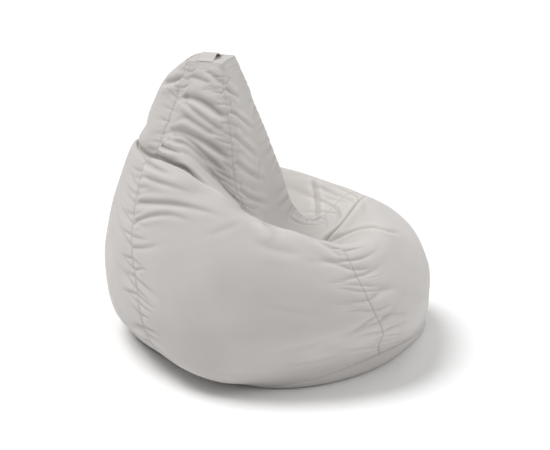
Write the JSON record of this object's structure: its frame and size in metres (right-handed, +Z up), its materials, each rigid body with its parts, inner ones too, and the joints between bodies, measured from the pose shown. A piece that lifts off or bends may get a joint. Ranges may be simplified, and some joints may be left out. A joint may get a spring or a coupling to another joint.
{
  "type": "bean bag chair",
  "caption": "Pear shaped fabric bean bag chair, slouched into a seat with a tall tapering back, with a webbing handle on its tip and a zipped base over an inner liner of foam beads.",
  "frame": {"origin": "on the floor, under the middle of the chair's outline", "axes": "+Z up, -Y the way the sitter faces, +X to the sitter's left"},
  "size_m": [0.965, 0.95, 0.801],
  "materials": {
    "cover_fabric": "matt woven upholstery fabric",
    "webbing": "matt folded strap of the cover fabric",
    "thread": "matt polyester thread",
    "zip_tape": "matt woven tape",
    "zip_teeth": "satin nylon",
    "zip_metal": "satin",
    "label": "matt satin ribbon, blank",
    "liner_fabric": "matt thin non-woven lining",
    "beads": "matt foam beads"
  },
  "bodies": {
    "chair": {"front_panel": "cover_fabric", "right_side_panel": "cover_fabric", "back_panel": "cover_fabric", "left_side_panel": "cover_fabric", "top_cap": "cover_fabric", "base_front_panel": "cover_fabric", "base_rear_panel": "cover_fabric", "carry_handle": "webbing", "handle_bar_tacks": "thread", "zip_tape_front": "zip_tape", "zip_tape_rear": "zip_tape", "zip_teeth_front": "zip_teeth", "zip_teeth_rear": "zip_teeth", "zip_end_stops": "zip_metal", "zip_flap": "cover_fabric", "care_label": "label", "liner_front_panel": "liner_fabric", "liner_right_panel": "liner_fabric", "liner_back_panel": "liner_fabric", "liner_left_panel": "liner_fabric", "liner_cap": "liner_fabric", "liner_base_front": "liner_fabric", "liner_base_rear": "liner_fabric", "liner_zip_tape_front": "zip_tape", "liner_zip_tape_rear": "zip_tape", "liner_zip_teeth_front": "zip_teeth", "liner_zip_teeth_rear": "zip_teeth", "liner_zip_end_stops": "zip_metal", "bead_fill": "beads"},
    "zip_slider": {"zip_slider": "zip_metal"},
    "liner_zip_slider": {"liner_zip_slider": "zip_metal"}
  },
  "joints": [
    {"name": "zip_slide", "type": "slide", "parent": "chair", "child": "zip_slider", "axis": [-1, 0, 0], "range_m": [0, 0.48]},
    {"name": "liner_zip_slide", "type": "slide", "parent": "chair", "child": "liner_zip_slider", "axis": [-1, 0, 0], "range_m": [0, 0.4]}
  ]
}
